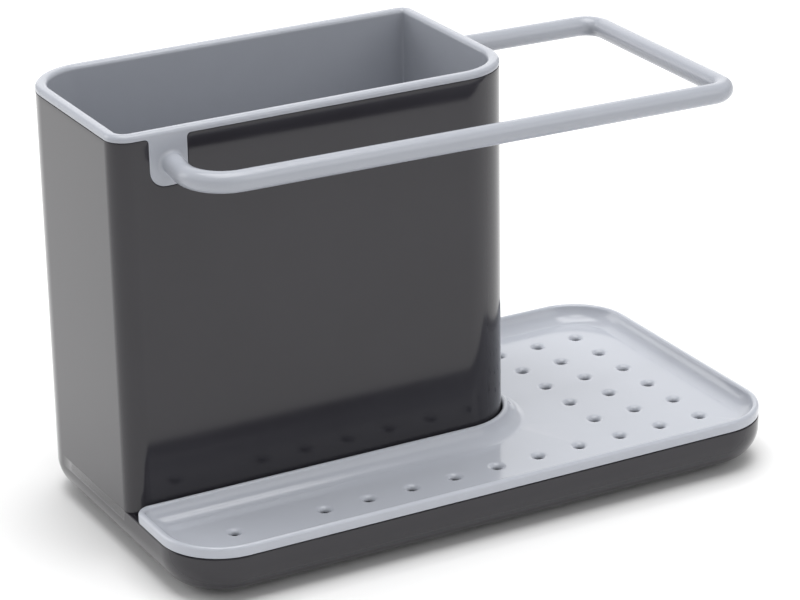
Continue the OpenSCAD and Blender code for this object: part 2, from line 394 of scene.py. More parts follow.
@dataclass(frozen=True)
class Notch:
    """A U-shaped dip in a wall's edge, or the tab that hangs in it.

    Its half outline runs along the edge, round the root radius, down the side,
    round the inner corner and along the bottom to the middle.
    """

    axis: int
    middle: float
    half_width: float
    depth: float
    corner: float
    root: float
    margin: float = 1.2
    # Points on the edge, on each curve, on the side and on the bottom
    steps: tuple[int, int, int, int] = (12, 60, 40, 20)

    @property
    def reach(self) -> float:
        """Half of the stretch of edge that the notch takes up."""
        return self.half_width + self.root + self.margin

    def outline(self) -> dict[str, Array]:
        """The half outline as tables over the length p along it.

        Returns:
            p, the distance a from the middle, the depth h, and the direction
            (na, nh) square to the line, away from the notch. knots holds p at
            the ends of the edge, root and side, and at the middle.
        """
        w, d, c, r = self.half_width, self.depth, self.corner, self.root
        on_edge, on_curve, on_side, on_floor = self.steps
        t = np.linspace(0, QUARTER, on_curve)
        edge = np.linspace(self.reach, w + r, on_edge)
        side = np.linspace(r, d - c, on_side)
        floor = np.linspace(w - c, 0, on_floor)
        a = join(edge, w + r - r * np.sin(t), 0 * side + w, w - c + c * np.cos(t), floor)
        h = join(0 * edge, r - r * np.cos(t), side, d - c + c * np.sin(t), 0 * floor + d)
        step = np.hypot(np.diff(a), np.diff(h))
        keep = join([True], step > LINE_MM)
        a, h = a[keep], h[keep]
        p = join([0.0], np.cumsum(np.hypot(np.diff(a), np.diff(h))))
        da, dh = np.gradient(a, p), np.gradient(h, p)
        size = np.hypot(da, dh)
        root, low = self.margin, self.margin + QUARTER * r + d - c - r
        knots = np.array([0.0, root, root + QUARTER * r, low, p[-1]])
        return {"p": p, "a": a, "h": h, "na": dh / size, "nh": -da / size, "knots": knots}


class NotchedEdge:
    """One edge of a wall on an outline, with notches in it."""

    # What is added to the ends of the front, corner and all, and of the right side for the tables
    ENDS = ((1.0, -0.01), (-12.0, -1.5))
    # Share of a tab's half width, above it, that the columns of its bottom take up
    HIGH = 0.6

    def __init__(self, outline: Outline, level: float, way: int, notches: Sequence[Notch]) -> None:
        """Prepares the tables.

        Args:
            outline: the wall's plan.
            level: height of the plain edge.
            way: -1 where notches go down from the edge, 1 where they go up.
            notches: the notches.
        """
        self.outline, self.level, self.way, self.notches = outline, level, way, notches
        starts = outline.starts
        spans = np.add(((starts[6], outline.length), (starts[1], starts[3])), self.ENDS)
        self.tables = [outline.table(n.axis, *spans[n.axis]) for n in notches]

    def columns(self, plain: Array, spacing: float = 0.45, least: float = 0.06) -> Array:
        """Lengths for the wall's columns: close together at notches, plain elsewhere.

        Args:
            plain: lengths for the rest of the wall.
            spacing: distance between points along a notch's outline.
            least: distance below which one of two columns is left out.
        Returns:
            Sorted lengths round the outline.
        """
        found = [plain]
        for notch, (value, s) in zip(self.notches, self.tables):
            line = notch.outline()
            p = np.linspace(0, line["p"][-1], int(line["p"][-1] / spacing) + 2)
            away = np.interp(p, line["knots"][[0, 3, 4]], [notch.reach, notch.half_width, 0.0])
            found += [np.interp(notch.middle + sign * away, value, s) for sign in (-1, 1)]
        return tidy_lengths(np.concatenate(found), self.outline.length, least)

    def trace(self, s: Array) -> dict[str, Array]:
        """Where each column meets the edge.

        A column at a distance from a notch's middle is given a place along the
        half outline, so that the columns fan out to the notch's sides.

        Args:
            s: the columns' lengths in the plain part of the wall.
        Returns:
            Length s and height z on the edge, the direction (ns, nz) away from
            the notch, and high, the columns' lengths beyond a tab's root.
        """
        out = {"s": s.copy(), "z": 0 * s + self.level, "ns": 0 * s, "nz": 0 * s + self.way,
               "high": s.copy()}
        for notch, (value, length) in zip(self.notches, self.tables):
            line = notch.outline()
            away = np.interp(s, length, value, left=FAR, right=FAR) - notch.middle
            inside = np.abs(away) < notch.reach
            sign = np.sign(away[inside])
            w = notch.half_width
            p = np.interp(np.abs(away[inside]), [0.0, w, notch.reach], line["knots"][[4, 3, 0]])
            a, h, na, nh = (np.interp(p, line["p"], line[key]) for key in ("a", "h", "na", "nh"))
            above = [notch.reach, w + notch.root, w, self.HIGH * w, 0.0]
            high = np.interp(p, line["knots"], above)
            out["s"][inside] = np.interp(notch.middle + sign * a, value, length)
            out["z"][inside] = self.level + self.way * h
            out["ns"][inside] = sign * na
            out["nz"][inside] = self.way * nh
            out["high"][inside] = np.interp(notch.middle + sign * high, value, length)
        return out


def beyond(line: dict[str, Array], far: float | Array) -> tuple[Array, ...]:
    """Lengths and heights at a distance from a traced edge, away from its notches."""
    return line["s"] + far * line["ns"], line["z"] + far * line["nz"]


class Tree:
    """A node tree, with short ways to add nodes to it and to join them."""

    def __init__(self, tree: bpy.types.NodeTree) -> None:
        """Keeps the tree."""
        self.tree = tree

    def put(self, node: bpy.types.Node, values: dict) -> None:
        """Joins a node's inputs, by name or place, to sockets, or sets them to values."""
        for key, value in values.items():
            if isinstance(value, Socket):
                self.tree.links.new(value, node.inputs[key])
            else:
                node.inputs[key].default_value = value

    def add(self, kind: str, values: dict | None = None, **settings: object) -> object:
        """Adds a node.

        Args:
            kind: the node's type.
            values: sockets or values for its inputs, by name or place.
            settings: its own settings, such as its operation.
        Returns:
            The node's outputs.
        """
        node = self.tree.nodes.new(kind)
        for name, value in settings.items():
            setattr(node, name, value)
        self.put(node, values or {})
        return node.outputs

    def math(self, operation: str, *values: object) -> Socket:
        """Adds a Math node whose inputs are sockets or numbers, and returns its output."""
        return self.add("ShaderNodeMath", dict(enumerate(values)), operation=operation)[0]

    def noise(self, vector: object, scale: object, detail: float) -> Socket:
        """Adds a noise and returns its values, from 0 to 1."""
        values = {"Vector": vector, "Scale": scale, "Detail": detail}
        return self.add("ShaderNodeTexNoise", values)["Fac"]

    def ramp(self, value: object, span: Sequence[float], to: Sequence[float] = (0.0, 1.0),
             way: str = "LINEAR") -> Socket:
        """Adds a Map Range node.

        Args:
            value: the socket to map.
            span: the values where the ramp starts and ends.
            to: what comes out at its start and its end.
            way: its interpolation.
        Returns:
            Its output.
        """
        names = ("Value", "From Min", "From Max", "To Min", "To Max")
        values = dict(zip(names, (value, *span, *to)))
        return self.add("ShaderNodeMapRange", values, interpolation_type=way)[0]


class Groups:
    """The shader node groups that the finishes share."""

    SURFACE = {"Colour": "Color", "Roughness": "Float"}
    # The slow wave's scale as a share of the grain's, its middle, and its effect on the gloss
    SLOW_SHARE, MIDDLE, GLOSS_SPREAD = 0.2, 0.5, 0.5
    # Pointiness at which wear starts and is full, its noise's scale, and how dull it gets
    EDGE, WEAR_SCALE, DULL = (0.53, 0.62), 420.0, 0.25
    # Half width of a parting line in metres, and its height in the bump
    HAIR_M, HAIR_HEIGHT = 0.00018, 2.0

    def __init__(self) -> None:
        """Builds each group once."""
        self.skin, self.wear, self.seam = self._skin(), self._wear(), self._seam()

    @staticmethod
    def _start(name: str, inputs: dict[str, str], outputs: dict[str, str]) -> tuple:
        """An empty group that takes a Vector and other inputs.

        Args:
            name: the group's name.
            inputs: types of the other inputs by name.
            outputs: types of the outputs by name.
        Returns:
            The tree, the sockets of its inputs and the node of its outputs.
        """
        tree = bpy.data.node_groups.new(name, "ShaderNodeTree")
        for way, sockets in (("INPUT", {"Vector": "Vector", **inputs}), ("OUTPUT", outputs)):
            for socket, kind in sockets.items():
                tree.interface.new_socket(socket, in_out=way, socket_type="NodeSocket" + kind)
        given = tree.nodes.new("NodeGroupInput").outputs
        return Tree(tree), given, tree.nodes.new("NodeGroupOutput")

    def _skin(self) -> bpy.types.NodeTree:
        """Moulded skin: slow waves of tone and gloss, and a fine grain for the bump."""
        inputs = {**self.SURFACE, "Grain size": "Float", "Tone": "Float"}
        outputs = {**self.SURFACE, "Height": "Float"}
        tree, given, sink = self._start("Moulded skin", inputs, outputs)
        scale = tree.math("DIVIDE", 1.0, given["Grain size"])
        slow = tree.math("MULTIPLY", scale, self.SLOW_SHARE)
        wave = tree.math("SUBTRACT", tree.noise(given["Vector"], slow, detail=3.0), self.MIDDLE)
        gain = tree.math("MULTIPLY_ADD", wave, given["Tone"], 1.0)
        tint = {0: given["Colour"], "Scale": gain}
        spread = tree.math("MULTIPLY_ADD", wave, self.GLOSS_SPREAD, 1.0)
        tree.put(sink, {
            "Colour": tree.add("ShaderNodeVectorMath", tint, operation="SCALE")[0],
            "Roughness": tree.math("MULTIPLY", given["Roughness"], spread),
            "Height": tree.noise(given["Vector"], scale, detail=2.0),
        })
        return tree.tree

    def _wear(self) -> bpy.types.NodeTree:
        """Edge wear: edges a little lighter and duller, broken up by a noise.

        Sockets 6, 7 and 2 are the two colours that the Mix node takes and the
        one that it gives.
        """
        inputs = {**self.SURFACE, "Amount": "Float", "Worn": "Color"}
        tree, given, sink = self._start("Edge wear", inputs, self.SURFACE)
        edge = tree.ramp(tree.add("ShaderNodeNewGeometry")["Pointiness"], self.EDGE)
        patches = tree.noise(given["Vector"], self.WEAR_SCALE, detail=4.0)
        mask = tree.math("MULTIPLY", tree.math("MULTIPLY", edge, patches), given["Amount"])
        colours = {0: mask, 6: given["Colour"], 7: given["Worn"]}
        tree.put(sink, {
            "Colour": tree.add("ShaderNodeMix", colours, data_type="RGBA")[2],
            "Roughness": tree.math("MULTIPLY_ADD", mask, self.DULL, given["Roughness"]),
        })
        return tree.tree

    def _seam(self) -> bpy.types.NodeTree:
        """A mould's parting line: a hair of height at one level, added to a height.

        It runs only before the plane Front and beyond the plane Side.
        """
        inputs = dict.fromkeys(("Level", "Front", "Side", "Height"), "Float")
        tree, given, sink = self._start("Parting line", inputs, {"Height": "Float"})
        axes = tree.add("ShaderNodeSeparateXYZ", {0: given["Vector"]})
        far = tree.math("ABSOLUTE", tree.math("SUBTRACT", axes["Z"], given["Level"]))
        hair = tree.ramp(far, (0.0, self.HAIR_M), (1.0, 0.0), "SMOOTHSTEP")
        before = tree.math("LESS_THAN", axes["Y"], given["Front"])
        beside = tree.math("GREATER_THAN", axes["X"], given["Side"])
        shown = tree.math("MULTIPLY", hair, tree.math("MAXIMUM", before, beside))
        line = tree.math("MULTIPLY_ADD", shown, self.HAIR_HEIGHT, given["Height"])
        tree.put(sink, {"Height": line})
        return tree.tree


@dataclass(frozen=True)
class Plastic:
    """A moulded plastic: colour, gloss and the fine unevenness of its skin."""

    name: str
    color: Triple
    roughness: float
    specular: float = 0.5
    grain_mm: float = 6.0
    grain_height: float = 0.02
    tone: float = 0.05
    wear: float = 0.15
    worn: Triple = (0.75, 0.75, 0.77)
    seam_mm: Triple | None = None
    ior: float = 1.49

    def make(self, groups: Groups) -> bpy.types.Material:
        """Builds the node material.

        Args:
            groups: the shared effects.
        Returns:
            The material.
        """
        material = bpy.data.materials.new(self.name)
        material.use_nodes = True
        tree = Tree(material.node_tree)
        where = tree.add("ShaderNodeTexCoord")["Object"]
        values = {"Vector": where, "Colour": (*self.color, 1), "Roughness": self.roughness,
                  "Grain size": self.grain_mm * MM, "Tone": self.tone}
        skin = tree.add("ShaderNodeGroup", values, node_tree=groups.skin)
        values = {"Vector": where, "Colour": skin["Colour"], "Roughness": skin["Roughness"],
                  "Amount": self.wear, "Worn": (*self.worn, 1)}
        worn = tree.add("ShaderNodeGroup", values, node_tree=groups.wear)
        height = skin["Height"]
        if self.seam_mm is not None:
            values = dict(zip(("Side", "Front", "Level"), (v * MM for v in self.seam_mm)))
            values |= {"Vector": where, "Height": height}
            height = tree.add("ShaderNodeGroup", values, node_tree=groups.seam)["Height"]
        values = {"Strength": 1.0, "Distance": self.grain_height * MM, "Height": height}
        bump = tree.add("ShaderNodeBump", values)
        shader = next(n for n in material.node_tree.nodes if n.type == "BSDF_PRINCIPLED")
        tree.put(shader, {
            "IOR": self.ior, "Specular IOR Level": self.specular,
            "Base Color": worn["Colour"], "Roughness": worn["Roughness"], "Normal": bump["Normal"],
        })
        return material


@dataclass(frozen=True)
class Sizes:
    """The sizes that the pieces share, as in the part's source."""

    x_left: float = -102.5
    x_right: float = 102.5
    y_front: float = -56.0
    y_back: float = 56.0
    corner_r: float = 19.5
    bin_right: float = 31.7
    bin_front: float = -16.3
    bin_left_r: float = 6.5
    bin_back_r: float = 4.5
    wall: float = 2.0
    foot_h: float = 1.5
    base_edge_r: float = 10.0
    pan_floor: float = 3.5
    pan_top: float = 15.1
    bin_top: float = 130.88
    top: float = 133.0
    bead_under: float = 131.0
    tab_under: float = 116.2
    liner_gap: float = 0.3
    liner_wall: float = 1.4
    front_tab_x: float = -85.5
    side_tab_y: float = 41.9
    tab_half_w: float = 6.0
    tab_corner_r: float = 5.0
    tab_root_r: float = 1.3
    foot_inset: float = 22.0
    foot_d: float = 11.0
    foot_recess: float = 0.8
    foot_gap: float = 0.2

    def base_plan(self) -> Outline:
        """The base's outline."""
        radii = (self.corner_r,) * 4
        return box_outline(self.x_left, self.x_right, self.y_front, self.y_back, radii)

    def bin_plan(self) -> Outline:
        """The bin's outline."""
        radii = (self.corner_r, self.bin_back_r, self.corner_r, self.bin_left_r)
        return box_outline(self.x_left, self.bin_right, self.bin_front, self.y_back, radii)

    def tabs(self, edge: float, gap: float = 0.0) -> list[Notch]:
        """The front and the side tab under an edge, or the notches a gap wider."""
        shape = (self.tab_half_w + gap, edge - self.tab_under + gap, self.tab_corner_r + gap,
                 self.tab_root_r - gap)
        return [Notch(i, at, *shape) for i, at in enumerate((self.front_tab_x, self.side_tab_y))]

    def foot_places(self) -> dict[str, tuple[float, float]]:
        """The middle of each foot by the name of its node."""
        x = self.x_right - self.foot_inset
        y = self.y_back - self.foot_inset
        return {
            f"{row}_{side}_foot": (a * x, b * y)
            for b, row in ((-1, "front"), (1, "back")) for a, side in ((-1, "left"), (1, "right"))
        }


@dataclass
class DarkBody:
    """The dark moulding: the low base with its pan, and the bin that stands on it."""

    sizes: Sizes
    edge_r: float = 0.18
    lip_r: float = 0.4
    fade_steps: tuple[float, ...] = (0.0, 1.0, 2.0, 3.2, 4.5, 6.0)
    recess_edge: float = 0.1
    tab_gap: float = 0.1
    weep_w: float = 16.0
    weep_h: float = 5.0
    weep_radii: tuple[float, float] = (0.8, 0.3)
    weep_margin: float = 2.0
    weep_shares: tuple[float, ...] = (0.25, 0.62)
    waist: float = 17.0
    sunk: float = 0.5

    def base(self, made: Moulding) -> None:
        """The dish: bottom, rounded edge, side, top edge and the pan inside.

        The top edge is rounded except along the bin, where its radius falls to
        nothing, so that the bin's wall stands on it without a groove.
        """
        z = self.sizes
        plan = z.base_plan()
        left = plan.starts[5] + z.y_back - z.corner_r - (z.bin_front + z.bin_left_r)
        back = plan.starts[3] + z.x_right - z.corner_r - (z.bin_right - z.bin_back_r)
        near = np.array(self.fade_steps)
        far = near[-1]
        s = tidy_lengths(join(plan.samples(), left + near, back - near), plan.length)
        weight = 1 - np.clip((s - back + far) / far, 0, 1) * np.clip((left + far - s) / far, 0, 1)
        out, pan = z.base_edge_r, z.base_edge_r - z.wall
        middle = z.foot_h + out
        lower = join([[out + STRIP, z.foot_h]], arc(out, middle, out, 270, 180, steps=30))
        inner = join(arc(out, middle, pan, 180, 270, steps=26), [[out + STRIP, z.pan_floor]])
        fall, slide = quarter(self.lip_r, steps=4)
        over = join(fall, z.wall - slide)
        drop = join(slide, fall)
        square = np.repeat([0.0, z.wall], len(fall))
        top_inset = square[:, None] + (over - square)[:, None] * weight
        top_z = z.pan_top - drop[:, None] * weight
        ones = np.ones_like(s)
        inset = join(lower[:, :1] * ones, top_inset, inner[:, :1] * ones)
        height = join(lower[:, 1:] * ones, top_z, inner[:, 1:] * ones)
        index = made.grid(sweep(plan, s, inset, height))
        r, e, deep = z.foot_d / 2 + z.foot_gap, self.recess_edge, z.foot_recess
        bore = np.array([[r + STRIP, 0], [r + e, 0], [r, e], [r, deep], [r - STRIP, deep]])
        bore[:, 1] += z.foot_h
        places = list(z.foot_places().values())
        holes = made.bores(bore, places, FOOT_SIDES)
        for hole, place in zip(holes, places):
            made.pole(hole[-1], (*place, z.foot_h + deep))
        made.fill([index[0]] + [h[0] for h in holes])
        made.fill([index[-1]])

    def dish_level(self, plan: Outline, s: Array) -> Array:
        """A height inside the dish's thickness, for the foot of a wall that stands in it.

        A rounded edge of the radius r lies r less the root of r squared less
        the square of what its distance from the side lacks of r above its floor.
        The height is halfway between the dish's outer face below the wall's
        outer side and its inner face below the wall's inner side.

        Args:
            plan: the wall's outline.
            s: lengths along it.
        Returns:
            The heights.
        """
        z = self.sizes
        out, pan = z.base_edge_r, z.base_edge_r - z.wall
        outer, inner = plan.place(s, 0.0), plan.place(s, z.wall)
        d_out = np.minimum(outer[:, 0] - z.x_left, z.y_back - outer[:, 1])
        d_in = np.minimum(inner[:, 0] - z.x_left, z.y_back - inner[:, 1])
        low = out - np.sqrt(out**2 - (out - np.clip(d_out, 0, out)) ** 2)
        high = out - np.sqrt(pan**2 - (out - np.clip(d_in, z.wall, out)) ** 2)
        return z.foot_h + (low + high) / 2

    def bin(self, made: Moulding) -> None:
        """The bin's wall: a closed band whose top dips round the tabs.

        Along the base's left and back it starts at the top of the base; at the
        front and right it runs down into the pan's floor, with low openings.
        The band goes up the outer face, over the rounded edge and down again.
        """
        z = self.sizes
        plan = z.bin_plan()
        low = z.pan_floor - self.sunk
        places = [(0, z.x_left + share * (z.bin_right - z.x_left)) for share in self.weep_shares]
        places.append((1, (z.bin_front + z.y_back) / 2))
        weep = (self.weep_w / 2, z.pan_floor + self.weep_h - low, *self.weep_radii)
        weeps = [Notch(axis, middle, *weep, self.weep_margin) for axis, middle in places]
        upper = NotchedEdge(plan, z.bin_top, -1, z.tabs(z.bin_top, self.tab_gap))
        lower = NotchedEdge(plan, low, 1, weeps)
        s = lower.columns(upper.columns(plan.samples()))
        top, foot = upper.trace(s), lower.trace(s)
        flush = (s >= plan.starts[3]) & (s <= plan.starts[6])
        foot_z = np.where(flush, z.pan_top, np.maximum(foot["z"], self.dish_level(plan, s)))
        r, wall = self.edge_r, z.wall
        edge_s, edge_z = beyond(top, r)
        rows_s = join([foot["s"]], [s], s + (edge_s - s) * RISE)
        rows_z = join([foot_z], [self.waist + 0 * s], NECK + (edge_z - NECK) * RISE)
        fall, slide = (v[:, None] for v in quarter(r, steps=4))
        over = join(fall[1:], (wall - slide)[:-1])
        over_s, over_z = beyond(top, join(slide[1:], fall[:-1]))
        length = join(rows_s, over_s, rows_s[::-1])
        inset = join(0 * rows_s, over + 0 * s, 0 * rows_s + wall)
        height = join(rows_z, over_z, rows_z[::-1])
        made.grid(sweep(plan, length, inset, height), loop=True)

    def build(self) -> Object:
        """Makes the piece."""
        made = Moulding()
        self.base(made)
        self.bin(made)
        return made.build("dark_moulding", Body.BASE, Slot.DARK, ["outer_body"])


@dataclass
class Liner:
    """The pale lift-out cup with its rounded bead and its two tabs.

    hole_top and hole_foot are points of a hole's profile, as distances beyond
    its radius and above the floor or the underside.
    """

    sizes: Sizes
    bead_r: float = 1.45
    edge_r: float = 0.18
    foot_r: float = 3.0
    under: float = 16.5
    floor: float = 18.1
    hole_d: float = 4.5
    hole_pitch: float = 22.0
    hole_columns: int = 5
    hole_rows: int = 2
    hole_top: tuple = ((1.2, 0.0), (0.6, 0.0), (0.3, 0.0), (0.08, -0.08), (0.0, -0.3))
    hole_foot: tuple = ((0.0, 0.1), (0.1, 0.0), (0.4, 0.0))

    def build(self) -> Object:
        """Makes the piece: underside, outer wall, tabs and bead, inner wall, floor."""
        z = self.sizes
        made = Moulding()
        plan = z.bin_plan()
        edge = NotchedEdge(plan, z.bead_under, -1, z.tabs(z.bead_under))
        s = edge.columns(plan.samples())
        line = edge.trace(s)
        high = line["high"]
        outer = z.wall + z.liner_gap
        inner = outer + z.liner_wall
        er, br, fr = self.edge_r, self.bead_r, self.foot_r
        shoulder = z.top - br
        foot = join([[outer + fr + STRIP, self.under]],
                    arc(outer + fr, self.under + fr, fr, 270, 180, steps=8))
        floor = join(arc(inner + fr, self.floor + fr, fr, 180, 270, steps=10),
                     [[inner + fr + STRIP, self.floor]])
        rows: list[tuple[Array, ...]] = []

        def add(inset: object, height: object, length: Array) -> None:
            """Takes rows in, each spread over all columns."""
            rows.append(tuple(np.broadcast_arrays(inset, height, length + 0 * s)))

        add(foot[:, :1], foot[:, 1:], s[None])
        add(outer, NECK, s[None])
        add(outer, NECK + (line["z"] - NECK) * RISE[1:], s + (line["s"] - s) * RISE[1:])
        fall, slide = (v[::-1, None] for v in quarter(er, steps=3))
        over_s, over_z = beyond(line, -slide)
        add(fall, over_z, over_s)
        start_s, start_z = beyond(line, -er)
        grow = np.linspace(0, 1, 5)[1:, None]
        add(0.0, start_z + (shoulder - start_z) * grow, start_s + (high - start_s) * grow)
        over = join(arc(br, shoulder, br, 180, 90, steps=8)[1:],
                    arc(inner - br, shoulder, br, 90, 0, steps=8))
        add(over[:, :1], over[:, 1:], high[None])
        add(inner, NECK, high[None])
        add(floor[:, :1], floor[:, 1:], high[None])
        inset, height, length = (join(*part) for part in zip(*rows))
        index = made.grid(sweep(plan, length, inset, height))
        r = self.hole_d / 2
        bore = join(np.add(self.hole_top, (r, self.floor)),
                    np.add(self.hole_foot, (r, self.under)))
        x = (z.x_left + z.bin_right - (self.hole_columns - 1) * self.hole_pitch) / 2
        y = (z.bin_front + z.y_back - (self.hole_rows - 1) * self.hole_pitch) / 2
        places = [
            (x + i * self.hole_pitch, y + j * self.hole_pitch)
            for i in range(self.hole_columns) for j in range(self.hole_rows)
        ]
        holes = made.bores(bore, places, HOLE_SIDES)
        made.fill([index[0]] + [h[-1] for h in holes])
        made.fill([index[-1]] + [h[0] for h in holes])
        return made.build("lift_out_liner", Body.LINER, Slot.INSERT, ["inner_liner"])


@dataclass
class Rail:
    """The round rail, bent three times, which leaves each tab a little above its level."""

    sizes: Sizes
    radius: float = 3.2
    level: float = 122.0
    droop: float = 0.86
    droop_way: float = 51.5
    root_shift: float = 0.8
    front_y: float = -37.0
    side_x: float = 92.9
    bends: Triple = (12.0, 6.6, 6.6)
    bend_strip: float = 0.5
    bend_steps: int = 25
    root_r: float = 1.0
    root_lift: float = 1.0
    lift_length: float = 8.0
    lift_steps: int = 12
    sunk: float = 1.5
    sides: int = 44

    def path(self) -> tuple[Array, ...]:
        """The middle line, as straight runs joined by quarter circles.

        A fillet's quarter circle stands off the wall as it gets narrower. The
        lift falls along half a wave of the cosine, from the tab's face on.

        Returns:
            Points, their unit directions in plan, and the fillet's width at
            each, from inside the front tab to inside the side tab.
        """
        z = self.sizes
        x, y = z.front_tab_x + self.root_shift, z.side_tab_y
        knots = np.array([[x, z.bin_front], [x, self.front_y], [self.side_x, self.front_y],
                          [self.side_x, y], [z.bin_right, y]])
        ways = np.diff(knots, axis=0)
        ways /= np.linalg.norm(ways, axis=1, keepdims=True)
        away, wide = quarter(self.root_r, steps=9)
        slope = np.linspace(self.root_r, self.lift_length, self.lift_steps)[1:]
        off = join([-self.sunk, 0.0], away[1:], slope)[:, None]
        flare = join([0.0], wide, 0 * slope)
        wave = np.cos(math.pi * np.clip(off / self.lift_length, 0, 1))
        lift = self.level + self.root_lift * (1 + wave) / 2
        points = [np.hstack([knots[0] + off * ways[0], lift])]
        heads, flares = [ways[:1] + 0 * off], [flare]
        t = np.linspace(0, QUARTER, self.bend_steps)
        slide = join([-self.bend_strip], 0 * t, [self.bend_strip])[:, None]
        t = join([0.0], t, [QUARTER])[:, None]
        for a, b, knot, r in zip(ways, ways[1:], knots[1:], self.bends):
            heading = a * np.cos(t) + b * np.sin(t)
            centre = knot - a * r + b * r
            bend = centre + r * (a * np.sin(t) - b * np.cos(t)) + slide * heading
            points.append(np.hstack([bend, 0 * t + self.level]))
            heads.append(heading)
            flares.append(0 * t[:, 0])
        points.append(np.hstack([knots[4] - off[::-1] * ways[3], lift[::-1]]))
        heads.append(ways[3:] + 0 * off)
        flares.append(flare[::-1])
        return np.concatenate(points), np.concatenate(heads), np.concatenate(flares)

    def build(self) -> Object:
        """Makes the piece: an upright ring round each point, closed inside the tabs.

        The loop hangs down about a line through its front root: each point is
        lowered by the tangent of the droop times its distance from that line.
        """
        made = Moulding()
        points, heads, flares = self.path()
        turn = np.linspace(0, 2 * math.pi, self.sides, endpoint=False)
        right = np.stack([heads[:, 1], -heads[:, 0]], 1)
        way = math.radians(self.droop_way)
        past = points[:, :2] - (self.sizes.front_tab_x + self.root_shift, self.sizes.bin_front)
        far = past @ (math.sin(way), -math.cos(way))
        points[:, 2] -= math.tan(math.radians(self.droop)) * far
        radii = self.radius + flares[:, None]
        wide = radii * np.cos(turn)
        plan = points[:, None, :2] + wide[..., None] * right[:, None]
        up = points[:, 2:] + radii * np.sin(turn)
        index = made.grid(np.dstack([plan, up]))
        for i in (0, -1):
            made.pole(index[i], points[i])
        return made.build("cloth_rail", Body.LINER, Slot.INSERT, ["hanging_rail"])


@dataclass
class Tray:
    """The pale drain tray: a rounded rim, a hollow and a floor with dished holes."""

    sizes: Sizes
    gap: float = 0.4
    top: float = 18.7
    floor: float = 13.7
    under: float = 11.9
    seat: float = 15.3
    body_inset: float = 2.4
    body_r: float = 0.5
    rim_r: float = 1.1
    hollow_r: float = 6.5
    crease: float = 10.0
    crease_strip: float = 0.25
    end_r: float = 5.0
    end_least: float = 2.6
    lip_r: float = 0.35
    hole_r: float = 1.4
    dish_r: float = 3.1
    dish_h: float = 1.4
    dish_strip: float = 0.4
    hole_foot: tuple = ((0.0, 0.15), (0.15, 0.0), (0.5, 0.0))
    pitch: float = 14.8
    side_inset: float = 18.9
    front_inset: float = 19.0
    front_row: int = 12
    columns: int = 3
    rows: int = 6
    blank: int = 10

    def plan(self) -> Outline:
        """The L-shaped outline, which goes round the bin's corner."""
        z = self.sizes
        x, y = z.bin_right + self.gap, z.bin_front - self.gap
        end = (self.end_r, self.end_least)
        return Outline(
            [
                Corner(z.x_right, z.y_front, (1, -1), -90, z.corner_r),
                Corner(z.x_right, z.y_back, (1, 1), 0, z.corner_r),
                Corner(x, z.y_back, (-1, 1), 90, *end),
                Corner(x, y, (-1, 1), 180, z.corner_r + self.gap, hollow=True),
                Corner(z.x_left, y, (-1, 1), 90, *end),
                Corner(z.x_left, z.y_front, (-1, -1), 180, z.corner_r),
            ]
        )

    def profile(self) -> Array:
        """Insets and heights from the floor over the rim to the underside.

        The hollow is an arc that meets the floor at the angle of the crease and
        touches the rim's round top. Its middle is its radius times the crease's
        cosine above the floor, and as far across from the rim's middle as the
        square root of the two radii's sum squared less the middles' difference
        in height squared.
        """
        crease = math.radians(self.crease)
        middle = self.floor + self.hollow_r * math.cos(crease)
        lift = middle - (self.top - self.rim_r)
        reach = self.rim_r + math.sqrt((self.hollow_r + self.rim_r) ** 2 - lift**2)
        lean = math.degrees(math.atan2(lift, reach - self.rim_r))
        r, b, br = self.lip_r, self.body_inset, self.body_r
        start = reach - self.hollow_r * math.sin(crease) + self.crease_strip
        return join(
            [[start, self.floor]],
            arc(reach, middle, self.hollow_r, 270 - self.crease, 180 + lean, steps=18),
            arc(self.rim_r, self.top - self.rim_r, self.rim_r, lean, 180, steps=18)[1:],
            arc(r, self.seat + r, r, 180, 270, steps=4),
            [[b, self.seat]],
            arc(b + br, self.under + br, br, 180, 270, steps=4),
            [[b + br + STRIP, self.under]],
        )

    def hole_places(self) -> list[tuple[float, float]]:
        """The middle of each drain hole, the front row whole but for the blank place."""
        x, y = self.sizes.x_right - self.side_inset, self.sizes.y_front + self.front_inset
        return [
            (x - i * self.pitch, y + j * self.pitch)
            for i in range(self.front_row) for j in range(self.rows)
            if (i != self.blank if j == 0 else i < self.columns)
        ]

    def build(self) -> Object:
        """Makes the piece."""
        made = Moulding()
        plan = self.plan()
        shape = self.profile()
        index = made.grid(sweep(plan, plan.samples(), shape[:, 0], shape[:, 1]))
        t = np.linspace(0, QUARTER, 9)
        across = self.dish_r - (self.dish_r - self.hole_r) * np.sin(t)
        bore = join(
            [[self.dish_r + self.dish_strip, self.floor]],
            np.stack([across, self.floor - self.dish_h * (1 - np.cos(t))], 1),
            np.add(self.hole_foot, (self.hole_r, self.under)),
        )
        holes = made.bores(bore, self.hole_places(), HOLE_SIDES)
        made.fill([index[0]] + [h[0] for h in holes])
        made.fill([index[-1]] + [h[-1] for h in holes])
        return made.build("tray_moulding", Body.TRAY, Slot.TRAY, ["drain_tray"])


@dataclass
class Feet:
    """The four soft feet: low discs with a rounded edge and a ring under them."""

    sizes: Sizes
    edge_r: float = 0.5
    top_edge: float = 0.2
    ring: tuple = ((1.6, 0.3), (1.9, 0.06), (2.2, 0.0))

    def build(self) -> list[Object]:
        """Makes the four pieces."""
        z = self.sizes
        r, e, top = z.foot_d / 2, self.edge_r, z.foot_h + z.foot_recess
        profile = join(
            self.ring,
            arc(r - e, e, e, 270, 360, steps=5),
            [[r, top - self.top_edge], [r - self.top_edge, top]],
        )
        pieces = []
        for node, place in z.foot_places().items():
            made = Moulding()
            index = made.bores(profile, [place], FOOT_SIDES)[0]
            made.pole(index[0], (*place, self.ring[0][1]))
            made.pole(index[-1], (*place, top))
            pieces.append(made.build(node + "_pad", Body.BASE, Slot.RUBBER, [node]))
        return pieces


